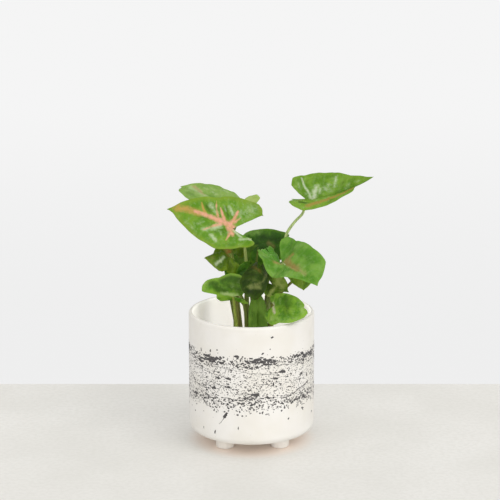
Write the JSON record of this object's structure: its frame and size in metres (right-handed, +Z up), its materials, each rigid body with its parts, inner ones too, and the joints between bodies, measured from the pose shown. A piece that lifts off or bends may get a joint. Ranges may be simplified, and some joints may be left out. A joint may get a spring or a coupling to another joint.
{
  "type": "potted arrowhead plant",
  "caption": "Leafy arrowhead plant with spreading blades on thin petioles, growing from soil in a straight round ceramic pot on short feet, with a band of dark splatter round the pot.",
  "frame": {"origin": "on the surface that the feet stand on, below the middle of the whole object's box", "axes": "+Z up along the pot's axis, -Y the front as pictured, +X to the right seen from the front; the pot's axis stands at x -0.01406, y 0"},
  "size_m": [0.1746, 0.11, 0.2379],
  "materials": {
    "cream_ceramic": "cream glaze, satin, with a band of charcoal splatter",
    "potting_soil": null,
    "fresh_green_leaf": null,
    "deep_green_leaf": null,
    "yellow_green_leaf": null
  },
  "bodies": {
    "root": {"pot": "cream_ceramic", "soil": "potting_soil", "leaf_top_left": "fresh_green_leaf", "leaf_top_left_rear": "fresh_green_leaf", "leaf_top_middle": "yellow_green_leaf", "leaf_top_right": "fresh_green_leaf", "leaf_right_front": "fresh_green_leaf", "leaf_right_hanging": "yellow_green_leaf", "leaf_low_right": "fresh_green_leaf", "leaf_middle_high": "deep_green_leaf", "leaf_left": "deep_green_leaf", "leaf_middle_left": "deep_green_leaf", "leaf_low_left": "fresh_green_leaf", "leaf_middle_front": "deep_green_leaf", "leaf_young": "deep_green_leaf", "leaf_low_middle": "yellow_green_leaf", "leaf_middle_hanging": "deep_green_leaf", "leaf_rear_left": "deep_green_leaf", "leaf_rear_right": "deep_green_leaf", "leaf_rear": "deep_green_leaf", "leaf_rear_low": "deep_green_leaf"}
  },
  "joints": []
}
